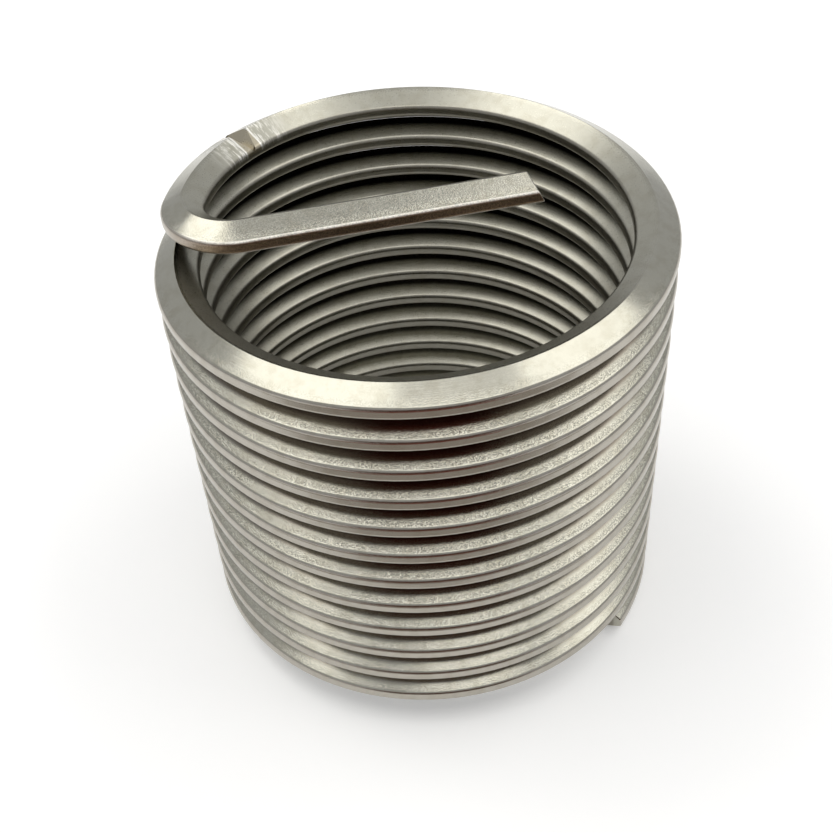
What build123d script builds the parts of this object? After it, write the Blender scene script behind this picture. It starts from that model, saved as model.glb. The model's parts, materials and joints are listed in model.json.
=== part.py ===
"""Helical thread insert, M24 x 2, tanged, in its free state before it is wound into a hole.

One length of stainless wire, rolled to a diamond section and coiled into a right-hand helix.
Its outer crests grip an oversize tapped hole, and its inner crests are the new M24 x 2 thread.
The last of the wire is folded across the bore: the driving tang, snapped off at its notch after fitting.

Millimetres. The coil's axis is Z, its lower wire end is at the bottom, and the tang is on top.
"""

from build123d import *
from math import atan2, cos, pi, radians, tan
import os

os.makedirs("parts", exist_ok=True)

# Thread and coil, in the free state
pitch = 2.0                # axial advance of one turn
outer_radius = 13.8        # outer crests, a little larger than the tapped hole
coil_turns = 12.45         # of full radius, from the lower wire end
lower_end_angle = -37.0    # where the lower wire end stands, seen from above

# Rolled wire: a 60 degree diamond with its outer and inner corners flattened
wire_width = 1.94          # across the two ridges, which face the neighbouring turns
outer_depth = 1.17         # from the ridges out to the outer crest
inner_depth = 1.20         # from the ridges in to the inner crest
flank_angle = 30.0         # slope of each flank

# The coil's last part closes in a little, up to the bend. Angles are degrees of the wire's turn
closing_radius = 11.8      # of the line midway between the ridges
closing_before_notch = 15.5
notch_before_bend = 32.0

# Break-off notch, ground across the top of the wire
notch_width = 1.35         # along the wire, at the ridge
notch_depth = 0.85         # below the ridge, and so through both crests

# Driving tang: the wire's last length, folded across the bore
bend_radius = 2.75         # of the line midway between the ridges
bend_angle = 109.5         # how far the wire turns inwards
tang_length = 15.9         # straight part, to the middle of its tip
tip_slant = 28.0           # the tip is sheared, and is longer underneath

half_width = wire_width / 2
ridge_radius = outer_radius - outer_depth
wire_depth = outer_depth + inner_depth
closing_angle = closing_before_notch + notch_before_bend


def wire_section():
    """The diamond. Local X points outwards from the coil, and Y lies along its axis."""
    outer = half_width - outer_depth * tan(radians(flank_angle))
    inner = half_width - inner_depth * tan(radians(flank_angle))
    Polygon(
        (0, half_width),
        (-inner_depth, inner),
        (-inner_depth, -inner),
        (0, -half_width),
        (outer_depth, -outer),
        (outer_depth, outer),
        align=None,
    )


with BuildPart() as insert:
    # The coil: the section swept up a right-hand helix that runs midway between the ridges
    lead_angle = atan2(pitch, 2 * pi * ridge_radius)
    with BuildLine() as coil_line:
        Helix(pitch, coil_turns * pitch, ridge_radius, center=(0, 0, half_width * cos(lead_angle)))
    coil = coil_line.line
    with BuildSketch(Plane(coil @ 0, x_dir=(1, 0, 0), z_dir=coil % 0)):
        wire_section()
    sweep(path=coil, is_frenet=True)

    # The line of the closing part and the bend, in a plane that follows the coil's end
    outwards = Vector((coil @ 1).X, (coil @ 1).Y, 0).normalized()
    coil_end = Plane(coil @ 1, x_dir=outwards, z_dir=coil % 1)
    tang_plane = Plane(coil @ 1 - outwards * closing_radius, x_dir=outwards, z_dir=-coil_end.y_dir)
    with BuildLine(tang_plane):
        closing = CenterArc((0, 0), closing_radius, 0, closing_angle)
        bend = JernArc(closing @ 1, closing % 1, bend_radius, bend_angle)
    closing_end = Plane(closing @ 1, x_dir=closing @ 1 - closing.arc_center, z_dir=closing % 1)
    tang_start = Plane(bend @ 1, x_dir=bend @ 1 - bend.arc_center, z_dir=bend % 1)

    # The closing part, then the bend: a quarter turn and a little more
    with BuildSketch(coil_end):
        wire_section()
    revolve(axis=Axis(closing.arc_center, tang_plane.z_dir), revolution_arc=closing_angle)
    with BuildSketch(closing_end):
        wire_section()
    revolve(axis=Axis(bend.arc_center, tang_plane.z_dir), revolution_arc=bend_angle)

    # The straight of the tang
    half_slant = half_width * tan(radians(tip_slant))
    with BuildSketch(tang_start):
        wire_section()
    extrude(amount=tang_length + half_slant)

    # Its sheared tip: a wedge is taken off the upper side
    tip_centre = tang_start.offset(tang_length).origin
    with BuildSketch(Plane(tip_centre, x_dir=tang_start.z_dir, z_dir=tang_start.x_dir)):
        Polygon((-half_slant, half_width), (half_slant, half_width), (half_slant, -half_width), align=None)
        scale(by=1.5)
    extrude(amount=wire_depth, both=True, mode=Mode.SUBTRACT)

    # The notch: a V ground straight across the ridge
    notch_place = closing_before_notch / closing_angle
    notch_centre = closing @ notch_place
    notch_outwards = notch_centre - closing.arc_center
    with BuildSketch(Plane(notch_centre, x_dir=closing % notch_place, z_dir=notch_outwards)):
        Polygon(
            (0, half_width - notch_depth),
            (notch_width, half_width + notch_depth),
            (-notch_width, half_width + notch_depth),
            align=None,
        )
    extrude(amount=wire_depth, both=True, mode=Mode.SUBTRACT)

thread_insert = insert.part.rotate(Axis.Z, lower_end_angle)
thread_insert.label = "thread_insert"
export_step(thread_insert, "parts/thread_insert.step")
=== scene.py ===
"""A helical thread insert, M24 x 2, standing on a white table under soft light.

The wire's lengths are in millimetres until its mesh is made; the rest is in metres.
"""

import json
from math import cos, pi, radians, sin, tan

import bpy
import numpy as np
from mathutils import Matrix, Vector


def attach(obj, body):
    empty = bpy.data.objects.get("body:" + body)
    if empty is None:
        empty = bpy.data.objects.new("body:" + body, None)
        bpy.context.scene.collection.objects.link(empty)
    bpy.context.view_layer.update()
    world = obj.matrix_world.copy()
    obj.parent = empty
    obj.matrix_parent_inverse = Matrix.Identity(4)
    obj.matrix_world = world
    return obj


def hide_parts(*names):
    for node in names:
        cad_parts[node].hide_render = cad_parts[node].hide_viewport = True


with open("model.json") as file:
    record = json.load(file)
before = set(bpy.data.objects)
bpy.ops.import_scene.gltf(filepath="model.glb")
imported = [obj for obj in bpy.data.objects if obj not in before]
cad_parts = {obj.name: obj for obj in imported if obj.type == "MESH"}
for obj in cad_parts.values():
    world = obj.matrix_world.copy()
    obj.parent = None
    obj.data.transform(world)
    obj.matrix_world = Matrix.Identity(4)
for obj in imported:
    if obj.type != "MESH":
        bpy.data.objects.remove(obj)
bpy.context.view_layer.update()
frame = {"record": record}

# ---------------------------------------------------------------------------
# The wire: one length of stainless wire, rolled to a diamond section with flattened corners,
# wound cold into a right-hand coil, and folded across the bore at its upper end as the driving
# tang. A notch is ground across it where the tang is to snap off, and both ends are sheared.

mounts = {mount["name"]: mount for mount in frame["record"]["mounts"]}
outer_radius = mounts["outer_thread"]["dims"]["r_mm"]
bore_radius = mounts["inner_thread"]["dims"]["r_mm"]

mm = 0.001
pitch = 2.0
coil_turns = 12.45
lower_end_angle = radians(-37)
wire_width = 1.94          # 0.06 mm is left between the ridges of neighbouring turns
outer_depth = 1.17
ridge_radius = outer_radius - outer_depth
inner_depth = ridge_radius - bore_radius
flank_slope = tan(radians(30))
half_width = wire_width / 2

closing_radius = 11.8
closing_before_notch = radians(15.5)
notch_before_bend = radians(32)
notch_width = 1.35
notch_depth = 0.85

bend_radius = 2.75
bend_angle = radians(109.5)
tang_length = 15.9
tip_slope = tan(radians(28))

ridge_round = 0.03         # radii that rolling and coiling leave on the section's corners
outer_round = 0.28
inner_round = 0.34


def rounded_diamond(corner_steps):
    """The section's outline as points (x, y) with outward normals.

    Each corner of the hexagon becomes an arc that touches both of its sides. Between two such
    arcs the sides stay straight. x is outwards from the coil's axis and y is along it.
    """
    outer = half_width - outer_depth * flank_slope
    inner = half_width - inner_depth * flank_slope
    corners = np.array([
        (0, -half_width), (outer_depth, -outer), (outer_depth, outer),
        (0, half_width), (-inner_depth, inner), (-inner_depth, -inner),
    ])
    rounds = np.array([ridge_round, outer_round, outer_round, ridge_round, inner_round, inner_round])
    before = corners - np.roll(corners, 1, axis=0)
    after = np.roll(corners, -1, axis=0) - corners
    normal_before = np.stack([before[:, 1], -before[:, 0]], axis=1)
    normal_after = np.stack([after[:, 1], -after[:, 0]], axis=1)
    normal_before /= np.linalg.norm(normal_before, axis=1, keepdims=True)
    normal_after /= np.linalg.norm(normal_after, axis=1, keepdims=True)
    middle = normal_before + normal_after
    middle /= np.linalg.norm(middle, axis=1, keepdims=True)
    half_cosine = np.sum(middle * normal_before, axis=1)
    centres = corners - middle * (rounds / half_cosine)[:, None]
    start = np.arctan2(normal_before[:, 1], normal_before[:, 0])
    turn = 2 * np.arccos(half_cosine)
    angles = start[:, None] + turn[:, None] * np.linspace(0, 1, corner_steps)
    normals = np.stack([np.cos(angles), np.sin(angles)], axis=-1)
    points = centres[:, None, :] + rounds[:, None, None] * normals
    return points.reshape(-1, 2), normals.reshape(-1, 2)


lead = np.arctan2(pitch, 2 * pi * ridge_radius)
turn_length = np.hypot(pitch, 2 * pi * ridge_radius)
coil_length = coil_turns * turn_length
closing_angle = closing_before_notch + notch_before_bend
closing_length = closing_angle * closing_radius
bend_length = bend_angle * bend_radius
wire_length = coil_length + closing_length + bend_length + tang_length
notch_at = coil_length + closing_before_notch * closing_radius
fold_at = coil_length + closing_length


def wire_path(along):
    """Centre, outward and forward directions at each length along the wire's centre line.

    First a helix of constant pitch, then two arcs in the plane of its last outward and forward
    directions, then a straight line. An arc moves the centre by its radius times the change of
    the outward direction, which turns by length / radius.
    """
    turned = np.clip(along, None, coil_length) / turn_length
    angle = lower_end_angle + 2 * pi * turned
    flat = np.zeros_like(angle)
    outward = np.stack([np.cos(angle), np.sin(angle), flat], axis=1)
    forward = np.stack([-np.sin(angle) * cos(lead), np.cos(angle) * cos(lead), flat + sin(lead)], axis=1)
    centre = ridge_radius * outward
    centre[:, 2] = half_width * cos(lead) + pitch * turned
    begin = coil_length
    for radius, length in ((closing_radius, closing_length), (bend_radius, bend_length)):
        bent = (np.clip(along - begin, 0, length) / radius)[:, None]
        bent_outward = np.cos(bent) * outward + np.sin(bent) * forward
        bent_forward = np.cos(bent) * forward - np.sin(bent) * outward
        centre = centre + radius * (bent_outward - outward)
        outward, forward = bent_outward, bent_forward
        begin += length
    centre = centre + np.clip(along - begin, 0, None)[:, None] * forward
    return centre, outward, forward


corner_steps = 6
section, section_normals = rounded_diamond(corner_steps)
end_bevel = 0.05

along = np.unique(np.round(np.concatenate([
    [0, end_bevel],
    np.linspace(0, coil_length, int(coil_turns * 120))[1:],
    coil_length + np.linspace(0, closing_length, 18)[1:],
    coil_length + closing_length + np.linspace(0, bend_length, 30)[1:],
    wire_length - tang_length + np.linspace(0, tang_length - 2, 22)[1:],
    notch_at + notch_width * np.linspace(-0.5, 0.5, 25),
    [wire_length - end_bevel, wire_length],
]), 5))
centre, outward, forward = wire_path(along)
upward = np.cross(outward, forward)

count, around = len(along), len(section)
x = np.tile(section[:, 0], (count, 1))
y = np.tile(section[:, 1], (count, 1))

# Oil is drawn in between the turns. It lies thickest on the ridges, and ends before the crests.
# The lowest turn has none under it, and the last turn has none on top
oil_film = 0.027
oil_starts_within = 0.1    # of a turn
oil_below = np.clip((along / turn_length - 1) / oil_starts_within, 0, 1)
oil_above = np.clip(((fold_at - along) / turn_length - 1) / oil_starts_within, 0, 1)
y += oil_film * np.clip(1 - np.abs(x), 0, 1) * np.where(y > 0, oil_above[:, None], -oil_below[:, None])

# The ends are cut with a fine bevel, and the tip of the tang leans back
ends = [0, count - 1]
shrink = 1 - end_bevel / half_width
x[ends] *= shrink
y[ends] *= shrink
lean = np.zeros((count, around))
lean[-2:] = -y[-2:] * tip_slope

# The notch is a V ground straight across, with flat walls. There the ridge's arc is spread out
# between the two flanks, and the section is pressed down to the V's height
from_notch = np.abs(along - notch_at) / (notch_width / 2)
v_height = half_width - notch_depth * (1 - from_notch)
in_notch = v_height < half_width - 0.02
ridge_points = np.arange(3 * corner_steps, 4 * corner_steps)
rows = np.flatnonzero(in_notch)
side = (half_width - v_height[rows]) / flank_slope
x[np.ix_(rows, ridge_points)] = np.linspace(
    np.minimum(side, outer_depth - 0.02), np.maximum(-side, 0.02 - inner_depth), corner_steps, axis=1)
y[rows] = np.minimum(y[rows], v_height[rows][:, None])
y[np.ix_(rows, ridge_points)] = v_height[rows][:, None]

points = (
    centre[:, None, :]
    + x[:, :, None] * outward[:, None, :]
    + y[:, :, None] * upward[:, None, :]
    + lean[:, :, None] * forward[:, None, :]
)
normals = (
    section_normals[None, :, 0:1] * outward[:, None, :]
    + section_normals[None, :, 1:2] * upward[:, None, :]
)


def grid_faces(rows, columns):
    """Four corners of each face of a grid whose last column joins its first, seen from outside."""
    row, column = np.meshgrid(np.arange(rows - 1), np.arange(columns), indexing="ij")
    following = (column + 1) % columns
    corners = [row * columns + column, (row + 1) * columns + column,
               (row + 1) * columns + following, row * columns + following]
    return np.stack(corners, axis=-1).reshape(-1, 4)


faces = grid_faces(count, around)
caps = [np.arange(around), np.arange(around)[::-1] + (count - 1) * around]
loops = np.concatenate([faces.ravel(), *caps])
starts = np.concatenate([np.arange(len(faces)) * 4, len(faces) * 4 + np.array([0, around])])
sizes = np.concatenate([np.full(len(faces), 4), [around, around]])

mesh = bpy.data.meshes.new("coiled_wire")
mesh.vertices.add(count * around)
mesh.vertices.foreach_set("co", (points * mm).ravel())
mesh.loops.add(len(loops))
mesh.loops.foreach_set("vertex_index", loops)
mesh.polygons.add(len(sizes))
mesh.polygons.foreach_set("loop_start", starts)
mesh.polygons.foreach_set("loop_total", sizes)
mesh.update(calc_edges=True)
mesh.validate()

# Place on the wire, for the finish: millimetres along it, outwards and upwards
place = np.stack([np.broadcast_to(along[:, None], x.shape), x, y], axis=-1)
mesh.attributes.new("wire_mm", "FLOAT_VECTOR", "POINT").data.foreach_set("vector", place.ravel())

# Exact normals on the rolled faces, and flat ones on the cuts
loop_normals = normals.reshape(-1, 3)[loops]
face_normals = np.zeros(len(sizes) * 3)
mesh.polygons.foreach_get("normal", face_normals)
face_normals = face_normals.reshape(-1, 3)
row = np.arange(len(faces)) // around
column = np.arange(len(faces)) % around
touches_notch = in_notch[row] | in_notch[row + 1]
flat = touches_notch & (column >= ridge_points[0]) & (column < ridge_points[-1])
flat |= (row == 0) | (row == count - 2)
flat = np.append(flat, [True, True])
per_loop = np.repeat(np.arange(len(sizes)), sizes)
loop_normals = np.where(flat[per_loop][:, None], face_normals[per_loop], loop_normals)
mesh.normals_split_custom_set(loop_normals)

wire = bpy.data.objects.new("coiled_wire", mesh)
bpy.context.scene.collection.objects.link(wire)


def linear(hex_colour):
    """sRGB hex to linear light, with full alpha."""
    values = np.array([int(hex_colour[i:i + 2], 16) / 255 for i in (1, 3, 5)])
    light = np.where(values <= 0.04045, values / 12.92, ((values + 0.055) / 1.055) ** 2.4)
    return (*light, 1.0)


def add(tree, kind, settings, inputs):
    """Adds one node with its settings. Each input takes a value, or another node's output."""
    node = tree.nodes.new(kind)
    for name, value in settings.items():
        setattr(node, name, value)
    for name, value in inputs.items():
        if isinstance(value, bpy.types.NodeSocket):
            tree.links.new(value, node.inputs[name])
        else:
            node.inputs[name].default_value = value
    return node


# Stainless steel, 18-8, cold rolled: satin, with faint drawing lines along the wire and a fine
# sandy grain, drawn at 0.07 mm so that it shows, strongest on the outer flanks. The crests are a
# little duller. Shade is painted dark at the ridges, where the turns shade each other, and
# highlights are painted on the tang's outer edge and on the lips of the notch.
steel = bpy.data.materials.new("rolled_stainless_wire")
steel.use_nodes = True
tree = steel.node_tree
shader = tree.nodes["Principled BSDF"]
shader.inputs["Metallic"].default_value = 1.0
smooth = {"interpolation_type": "SMOOTHSTEP"}
multiply = {"operation": "MULTIPLY"}
colours = {"data_type": "RGBA"}
spot = add(tree, "ShaderNodeTexCoord", {}, {}).outputs["Object"]
place = add(tree, "ShaderNodeAttribute", {"attribute_name": "wire_mm"}, {}).outputs["Vector"]
split = add(tree, "ShaderNodeSeparateXYZ", {}, {"Vector": place})
length, depth, height = split.outputs

# Where on the wire: its crests, the last turn, the folded tang, and the painted shade at the ridges
crest = add(tree, "ShaderNodeMapRange", smooth,
            {"Value": depth, "From Min": outer_depth - 0.14, "From Max": outer_depth - 0.04}).outputs[0]
inner_crest = add(tree, "ShaderNodeMapRange", smooth,
                  {"Value": depth, "From Min": 0.2 - inner_depth, "From Max": 0.05 - inner_depth}).outputs[0]
uncovered_at = fold_at - turn_length
last_turn = add(tree, "ShaderNodeMapRange", smooth,
                {"Value": length, "From Min": uncovered_at - 2, "From Max": uncovered_at + 2}).outputs[0]
folded = add(tree, "ShaderNodeMapRange", smooth,
             {"Value": length, "From Min": fold_at + 1, "From Max": fold_at + bend_length}).outputs[0]
upper = add(tree, "ShaderNodeMapRange", smooth,
            {"Value": height, "From Min": -0.1, "From Max": 0.1}).outputs[0]
open_top = add(tree, "ShaderNodeMath", multiply, {0: last_turn, 1: upper}).outputs[0]
# Painted shade: dark at the ridges between the turns, where they shade each other; none on top of the last
# turn, and weaker towards the bottom
off_ridge = add(tree, "ShaderNodeMath", {"operation": "SUBTRACT"}, {0: depth, 1: 0.12}).outputs[0]
beside = add(tree, "ShaderNodeMath", {"operation": "ABSOLUTE"}, {0: off_ridge}).outputs[0]
ridge_shade = add(tree, "ShaderNodeMapRange", smooth,
           {"Value": beside, "From Min": 0.68, "From Max": 0.42}).outputs[0]
covered_ridge_shade = add(tree, "ShaderNodeMath", {"operation": "SUBTRACT", "use_clamp": True},
              {0: ridge_shade, 1: open_top}).outputs[0]
shade_weaker_low = add(tree, "ShaderNodeMapRange", smooth,
              {"Value": length, "From Min": 0, "From Max": coil_length * 0.7, "To Min": 0.55}).outputs[0]
shaded = add(tree, "ShaderNodeMath", multiply, {0: covered_ridge_shade, 1: shade_weaker_low}).outputs[0]

grains_in_a_metre = 15000.0
sand = add(tree, "ShaderNodeTexNoise", {},
           {"Vector": spot, "Scale": grains_in_a_metre, "Detail": 2.0, "Roughness": 0.6}).outputs[0]
clouds = add(tree, "ShaderNodeTexNoise", {},
             {"Vector": spot, "Scale": 1500.0, "Detail": 3.0}).outputs[0]
drawn_out = add(tree, "ShaderNodeVectorMath", multiply,
                {0: place, 1: (0.12, 13.0, 13.0)}).outputs[0]
drawing_lines = add(tree, "ShaderNodeTexNoise", {},
                    {"Vector": drawn_out, "Scale": 1.0, "Detail": 3.0}).outputs[0]

# Scuffs of the grinding wheel beside the notch: fine bright scores across the wire
from_wheel = add(tree, "ShaderNodeMath", {"operation": "SUBTRACT"},
                 {0: length, 1: notch_at}).outputs[0]
beside_wheel = add(tree, "ShaderNodeMath", {"operation": "ABSOLUTE"}, {0: from_wheel}).outputs[0]
near_wheel = add(tree, "ShaderNodeMapRange", smooth,
                 {"Value": beside_wheel, "From Min": 3.4, "From Max": 0.9}).outputs[0]
in_cut = add(tree, "ShaderNodeMath", {"operation": "LESS_THAN"},
             {0: beside_wheel, 1: notch_width / 2}).outputs[0]
cut_wall = add(tree, "ShaderNodeMath", multiply, {0: in_cut, 1: open_top}).outputs[0]
outside_cut = add(tree, "ShaderNodeMath", {"operation": "SUBTRACT"},
                  {0: open_top, 1: in_cut}).outputs[0]
across = add(tree, "ShaderNodeVectorMath", multiply, {0: place, 1: (6.0, 1.2, 1.2)}).outputs[0]
scores = add(tree, "ShaderNodeTexNoise", {},
             {"Vector": across, "Scale": 1.0, "Detail": 4.0, "Roughness": 0.7}).outputs[0]
scored = add(tree, "ShaderNodeMath", {"operation": "MULTIPLY", "use_clamp": True},
             {0: near_wheel, 1: outside_cut}).outputs[0]

# Where the sandy grain is: the outer flanks, worn down on the last turn, and the tang's crest
tang_crest = add(tree, "ShaderNodeMath", multiply, {0: crest, 1: folded}).outputs[0]
outer_flank = add(tree, "ShaderNodeMapRange", smooth,
                  {"Value": depth, "From Min": 0.55, "From Max": 0.9, "To Min": 0.04}).outputs[0]
before_corner = add(tree, "ShaderNodeMapRange", smooth,
                    {"Value": depth, "From Min": outer_depth - 0.09,
                     "From Max": outer_depth - 0.19}).outputs[0]
worn = add(tree, "ShaderNodeMapRange", {},
           {"Value": last_turn, "To Min": 1.0, "To Max": 0.3}).outputs[0]
flank_grain = add(tree, "ShaderNodeMath", multiply, {0: outer_flank, 1: before_corner}).outputs[0]
worn_grain = add(tree, "ShaderNodeMath", multiply, {0: flank_grain, 1: worn}).outputs[0]
smoother = add(tree, "ShaderNodeMapRange", smooth,
               {"Value": length, "From Min": 0, "From Max": coil_length * 0.5,
                "To Min": 0.35}).outputs[0]
coil_grain = add(tree, "ShaderNodeMath", multiply, {0: worn_grain, 1: smoother}).outputs[0]
crest_share = add(tree, "ShaderNodeMapRange", {}, {"Value": crest, "To Min": 0.4}).outputs[0]
tang_grain = add(tree, "ShaderNodeMath", multiply, {0: crest_share, 1: folded}).outputs[0]
grain = add(tree, "ShaderNodeMath", {"operation": "ADD", "use_clamp": True},
            {0: coil_grain, 1: tang_grain}).outputs[0]

# A highlight is painted along the tang's outer edge, which is also made rougher there
from_edge = add(tree, "ShaderNodeMath", {"operation": "SUBTRACT"},
                {0: depth, 1: outer_depth - 0.09}).outputs[0]
beside_edge = add(tree, "ShaderNodeMath", {"operation": "ABSOLUTE"}, {0: from_edge}).outputs[0]
edge = add(tree, "ShaderNodeMapRange", smooth,
           {"Value": beside_edge, "From Min": 0.07, "From Max": 0.02}).outputs[0]
tang_edge_highlight = add(tree, "ShaderNodeMath", multiply, {0: edge, 1: folded}).outputs[0]

# Colour
steel_colour = add(tree, "ShaderNodeMix", colours,
                   {0: crest, 6: linear("#b8b6a9"), 7: linear("#b2ada3")}).outputs[2]
browned = add(tree, "ShaderNodeMix", colours,
              {0: tang_crest, 6: steel_colour, 7: linear("#96816f")}).outputs[2]
# Painted highlight along the tang's outer edge
with_edge_highlight = add(tree, "ShaderNodeMix", colours,
             {0: tang_edge_highlight, 6: browned, 7: linear("#f0ede4")}).outputs[2]
dulled = add(tree, "ShaderNodeMix", colours,
             {0: inner_crest, 6: with_edge_highlight, 7: linear("#9c998e")}).outputs[2]
inner_side = add(tree, "ShaderNodeMapRange", smooth,
                 {"Value": depth, "From Min": 0.1, "From Max": -0.3}).outputs[0]
# Painted shade colour: grey-brown on the outer side, near black inside the bore
painted_shade_colour = add(tree, "ShaderNodeMix", colours,
          {0: inner_side, 6: linear("#716a61"), 7: linear("#2b2722")}).outputs[2]
with_painted_shade = add(tree, "ShaderNodeMix", colours, {0: shaded, 6: dulled, 7: painted_shade_colour}).outputs[2]
cloud = add(tree, "ShaderNodeMapRange", smooth,
            {"Value": clouds, "From Min": 0.4, "From Max": 0.7, "To Max": 0.45}).outputs[0]
clouded = add(tree, "ShaderNodeMix", colours | {"blend_type": "MULTIPLY"},
              {0: cloud, 6: with_painted_shade, 7: linear("#e8e5df")}).outputs[2]
bright_score = add(tree, "ShaderNodeMapRange", smooth,
                   {"Value": scores, "From Min": 0.46, "From Max": 0.6}).outputs[0]
score_here = add(tree, "ShaderNodeMath", multiply, {0: scored, 1: bright_score}).outputs[0]
fresh = add(tree, "ShaderNodeMix", colours,
            {0: score_here, 6: clouded, 7: linear("#f0eee6")}).outputs[2]
ground = add(tree, "ShaderNodeMix", colours,
             {0: cut_wall, 6: fresh, 7: linear("#b8b09c")}).outputs[2]
# Painted highlight along both lips of the notch
from_lip = add(tree, "ShaderNodeMath", {"operation": "SUBTRACT"},
               {0: beside_wheel, 1: notch_width / 2}).outputs[0]
beside_lip = add(tree, "ShaderNodeMath", {"operation": "ABSOLUTE"}, {0: from_lip}).outputs[0]
lip_highlight = add(tree, "ShaderNodeMapRange", smooth,
          {"Value": beside_lip, "From Min": 0.1, "From Max": 0.03}).outputs[0]
lip_highlight_here = add(tree, "ShaderNodeMath", multiply, {0: lip_highlight, 1: open_top}).outputs[0]
with_lip_highlight = add(tree, "ShaderNodeMix", colours,
             {0: lip_highlight_here, 6: ground, 7: linear("#f6f4ec")}).outputs[2]
pitted = add(tree, "ShaderNodeMapRange", smooth,
             {"Value": sand, "From Min": 0.4, "From Max": 0.6,
              "To Min": 0.69, "To Max": 1.21}).outputs[0]
grains = add(tree, "ShaderNodeMix", {}, {"Factor": grain, 2: 1.0, 3: pitted}).outputs[0]
speckled = add(tree, "ShaderNodeVectorMath", {"operation": "SCALE"},
               {0: with_lip_highlight, "Scale": grains}).outputs[0]
tree.links.new(speckled, shader.inputs["Base Color"])

# Gloss: satin, duller on the inner side and where it is scored
sanded = add(tree, "ShaderNodeMapRange", {},
             {"Value": sand, "From Min": 0.3, "From Max": 0.7,
              "To Min": -0.05, "To Max": 0.05}).outputs[0]
satin = add(tree, "ShaderNodeMath", {"operation": "MULTIPLY_ADD"},
            {0: sanded, 1: before_corner, 2: 0.17}).outputs[0]
satin_inside = add(tree, "ShaderNodeMath", {"operation": "MULTIPLY_ADD"},
                   {0: inner_side, 1: 0.14, 2: satin}).outputs[0]
satin_crest = add(tree, "ShaderNodeMath", {"operation": "MULTIPLY_ADD"},
                  {0: crest, 1: 0.1, 2: satin_inside}).outputs[0]
satin_scored = add(tree, "ShaderNodeMath", {"operation": "MULTIPLY_ADD"},
                   {0: scored, 1: 0.15, 2: satin_crest}).outputs[0]
worn_edge = add(tree, "ShaderNodeMath", {"operation": "MULTIPLY_ADD"},
                {0: tang_edge_highlight, 1: 0.35, 2: satin_scored}).outputs[0]
tree.links.new(worn_edge, shader.inputs["Roughness"])

# Relief: drawing lines, scores and the sandy grain
lines = add(tree, "ShaderNodeBump", {},
            {"Strength": 0.35, "Distance": 0.000004, "Height": drawing_lines}).outputs[0]
scratched = add(tree, "ShaderNodeBump", {},
                {"Strength": scored, "Distance": 0.00003, "Height": scores, "Normal": lines}).outputs[0]
sandy = add(tree, "ShaderNodeBump", {},
            {"Strength": grain, "Distance": 0.00002, "Height": sand, "Normal": scratched}).outputs[0]
tree.links.new(sandy, shader.inputs["Normal"])
mesh.materials.append(steel)

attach(wire, "root")
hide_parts("thread_insert")

# ---------------------------------------------------------------------------
# The table: a sheet of matt white card, larger than the view. It is white to the camera and in
# reflections, and keeps the insert's shadow.

floor_size = 6.0


def level_corners(low, high, height):
    """A level rectangle between two corners (x, y), anticlockwise as seen from above."""
    return [(low[0], low[1], height), (high[0], low[1], height),
            (high[0], high[1], height), (low[0], high[1], height)]


half_floor = floor_size / 2
table_mesh = bpy.data.meshes.new("table")
table_corners = level_corners((-half_floor, -half_floor), (half_floor, half_floor), 0)
table_mesh.from_pydata(table_corners, [], [(0, 1, 2, 3)])
table = bpy.data.objects.new("table", table_mesh)
bpy.context.scene.collection.objects.link(table)
white_card = bpy.data.materials.new("matt_white_card")
white_card.use_nodes = True
paint = white_card.node_tree.nodes["Principled BSDF"]
paint.inputs["Base Color"].default_value = linear("#f8f8f7")
paint.inputs["Roughness"].default_value = 0.6
paint.inputs["Specular IOR Level"].default_value = 0.0
own_glow = 0.22
ray = add(white_card.node_tree, "ShaderNodeLightPath", {}, {})
seen = add(white_card.node_tree, "ShaderNodeMath", {"operation": "MAXIMUM"},
           {0: ray.outputs["Is Camera Ray"], 1: ray.outputs["Is Glossy Ray"]}).outputs[0]
seen_through = add(white_card.node_tree, "ShaderNodeMath", {"operation": "MAXIMUM"},
                   {0: seen, 1: ray.outputs["Is Transmission Ray"]}).outputs[0]
glow = add(white_card.node_tree, "ShaderNodeMath", multiply,
           {0: seen_through, 1: own_glow}).outputs[0]
paint.inputs["Emission Color"].default_value = linear("#ffffff")
white_card.node_tree.links.new(glow, paint.inputs["Emission Strength"])
table_mesh.materials.append(white_card)

# ---------------------------------------------------------------------------
# Light: soft panels overhead, side by side, and a dim even room. A grey card, a painted shadow
# of the table in shade in front, and a brown cloth lie on the table in front, with a brown board
# behind them, for the crests and the gaps to mirror.

world = bpy.data.worlds.new("room")
bpy.context.scene.world = world
world.use_nodes = True
world.node_tree.nodes["Background"].inputs["Color"].default_value = linear("#fbfcff")
world.node_tree.nodes["Background"].inputs["Strength"].default_value = 0.54

lamp_height = 0.30


def panel(name, low, high, radiance):
    """A soft panel overhead that faces down, between two corners (x, y).

    Its power in watts is its radiance times pi times its area.
    """
    lamp = bpy.data.lights.new(name, "AREA")
    lamp.shape = "RECTANGLE"
    lamp.size = high[0] - low[0]
    lamp.size_y = high[1] - low[1]
    lamp.energy = radiance * pi * lamp.size * lamp.size_y
    lamp.color = linear("#fffdf9")[:3]
    holder = bpy.data.objects.new(name, lamp)
    holder.visible_camera = False
    holder.location = ((low[0] + high[0]) / 2, (low[1] + high[1]) / 2, lamp_height)
    bpy.context.scene.collection.objects.link(holder)


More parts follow.
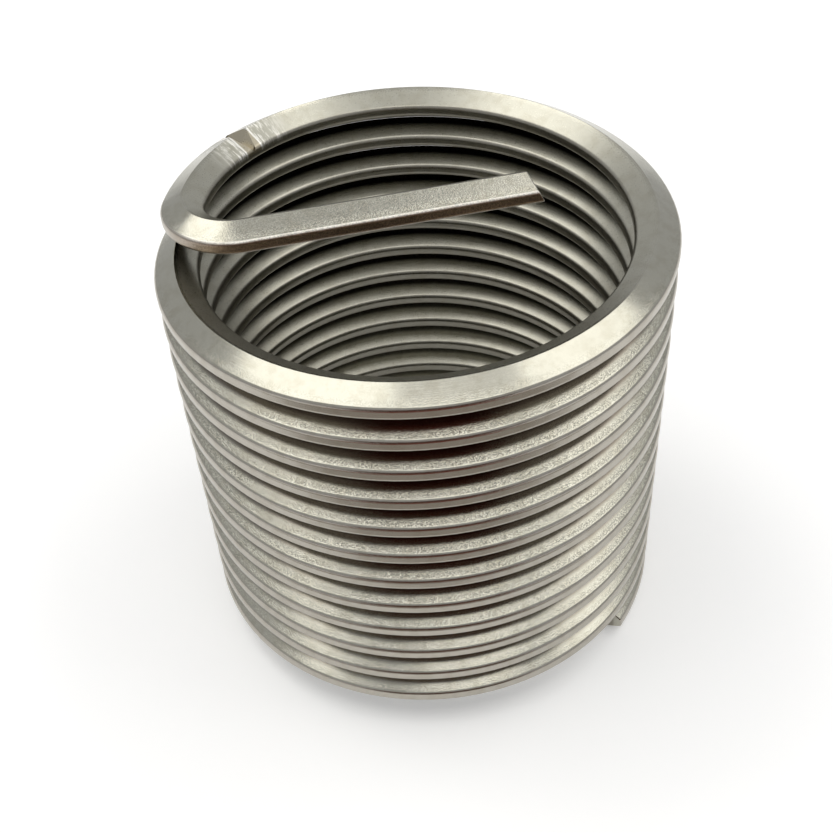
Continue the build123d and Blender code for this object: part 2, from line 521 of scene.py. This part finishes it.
panel("left_panel", (-0.27, -0.095), (-0.048, 0.15), 1.75)
panel("left_lamp", (-0.15, 0.04), (-0.08, 0.12), 3.2)
panel("right_panel", (0.115, -0.105), (0.36, 0.11), 1.55)
panel("right_front_lamp", (0.11, -0.065), (0.155, -0.015), 2.6)
panel("right_back_lamp", (0.08, 0.04), (0.15, 0.095), 3.0)
panel("front_panel", (-0.048, -0.155), (0.115, -0.085), 1.8)
panel("front_middle_panel", (-0.048, -0.085), (0.115, -0.035), 0.45)
panel("middle_panel", (-0.048, -0.035), (0.115, 0.04), 0.1)


def card(name, corners, hex_colour):
    """A flat matt card that only the metal mirrors: it shades nothing."""
    sheet = bpy.data.meshes.new(name)
    sheet.from_pydata(corners, [], [(0, 1, 2, 3)])
    board = bpy.data.objects.new(name, sheet)
    board.visible_camera = False
    board.visible_diffuse = False
    board.visible_shadow = False
    bpy.context.scene.collection.objects.link(board)
    matt = bpy.data.materials.new(name)
    matt.use_nodes = True
    surface = matt.node_tree.nodes["Principled BSDF"]
    surface.inputs["Base Color"].default_value = linear(hex_colour)
    surface.inputs["Roughness"].default_value = 0.95
    sheet.materials.append(matt)


card_thickness = 0.0004
board_at = -0.161
board_top = 0.085
# Painted shadow: the grey card stands for the table in shade in front, and only the metal mirrors it
card("table_shade_card", level_corners((-0.06, -0.052), (0.06, -0.023), card_thickness), "#aea9a1")
card("brown_cloth", level_corners((-0.05, -0.16), (0.05, -0.052), card_thickness), "#7c2a18")
card("brown_board", [(-0.10, board_at, 0), (0.10, board_at, 0),
                     (0.10, board_at, board_top), (-0.10, board_at, board_top)], "#55382b")

# ---------------------------------------------------------------------------
# Camera: close above the insert and a little in front of it, turned slightly on its own axis.

look_at = Vector((-0.572, 0.0, 11.700)) * mm
distance = 73.52 * mm
elevation = radians(43.03)
roll = radians(3.96)
view = Vector((0, cos(elevation), -sin(elevation)))
level = Vector((1, 0, 0))
above = Vector((0, sin(elevation), cos(elevation)))
camera_right = cos(roll) * level - sin(roll) * above
camera_up = sin(roll) * level + cos(roll) * above
lens = bpy.data.cameras.new("camera")
lens.sensor_width = 36
lens.lens = 52.8764
lens.clip_start = 0.001
camera = bpy.data.objects.new("camera", lens)
camera_turn = Matrix((camera_right, camera_up, -view)).transposed().to_4x4()
camera.matrix_world = Matrix.Translation(look_at - distance * view) @ camera_turn
bpy.context.scene.collection.objects.link(camera)
bpy.context.scene.camera = camera
bpy.context.scene.view_settings.view_transform = "Standard"
